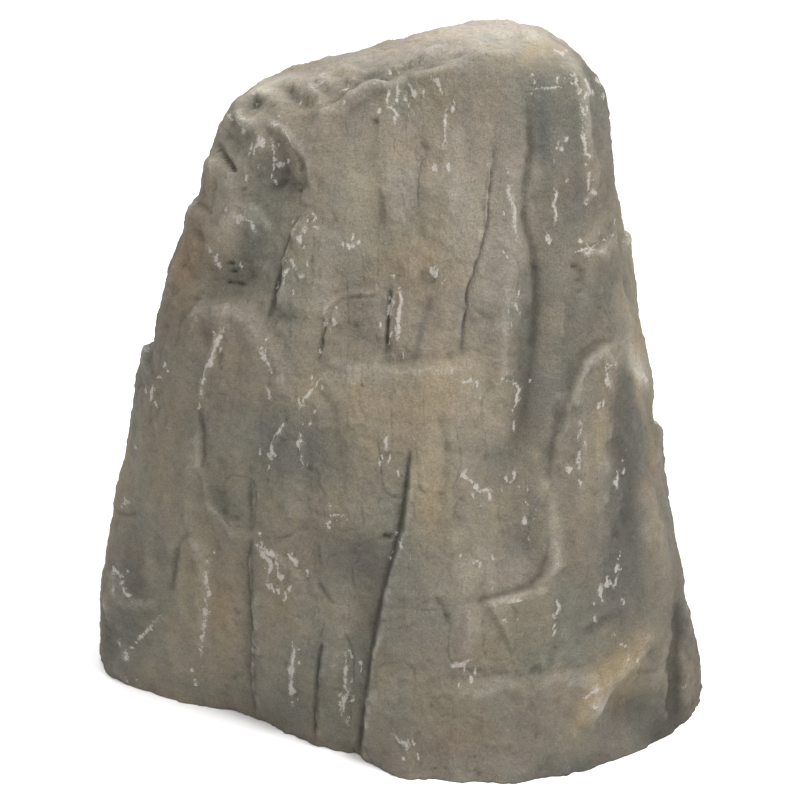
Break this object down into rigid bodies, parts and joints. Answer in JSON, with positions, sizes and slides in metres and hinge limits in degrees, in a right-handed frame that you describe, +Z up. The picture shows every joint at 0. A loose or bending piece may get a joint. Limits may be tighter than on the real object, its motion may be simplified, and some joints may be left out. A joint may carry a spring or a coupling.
{
  "type": "hollow artificial rock for a pond",
  "caption": "Tall hollow moulded artificial rock with an open base, bonded inner flange and a hinged, latched service hatch with louvre vent in its flat back.",
  "frame": {"origin": "on the ground at the centre of the rectangle of anchor holes in the base", "axes": "+Z up, the rock's front faces -Y and its hatch +Y, +X to the right seen from the front"},
  "size_m": [0.7911, 0.5275, 0.8372],
  "materials": {
    "rock": "mottled stone paint, matt",
    "resin_grey": "unpainted moulded resin",
    "rubber_black": "matt",
    "frame_grey": "fine moulded texture",
    "door_stone": "stone paint, matt",
    "stainless": "brushed",
    "latch_black": "satin",
    "gland_grey": "satin"
  },
  "bodies": {
    "rock": {"rock_shell": "rock", "base_flange": "resin_grey", "foot_pads": "rubber_black", "hatch_frame": "frame_grey", "hatch_seal": "rubber_black", "hinge_upper_fixed_leaf": "stainless", "hinge_upper_pin": "stainless", "hinge_lower_fixed_leaf": "stainless", "hinge_lower_pin": "stainless", "hinge_frame_screws": "stainless", "hose_grommet": "rubber_black", "cable_gland_body": "gland_grey", "cable_gland_cap": "gland_grey", "cable_gland_seal": "rubber_black", "cable_gland_locknut": "gland_grey"},
    "door": {"hatch_door": "door_stone", "hinge_upper_door_leaf": "stainless", "hinge_lower_door_leaf": "stainless", "hinge_door_screws": "stainless", "latch_body": "latch_black", "latch_body_nut": "stainless", "vent_grille": "frame_grey", "vent_screen": "stainless", "vent_screws": "stainless"},
    "latch": {"latch_knob": "latch_black", "latch_cam": "stainless", "latch_cam_screw": "stainless"}
  },
  "joints": [
    {"name": "hatch_swing", "type": "hinge", "parent": "rock", "child": "door", "pos_m": [0.0945, 0.251, 0.24], "axis": [0, 0, -1], "range_deg": [0, 110]},
    {"name": "latch_turn", "type": "hinge", "parent": "door", "child": "latch", "pos_m": [-0.128, 0.246, 0.22], "axis": [0, -1, 0], "range_deg": [0, 90]}
  ]
}
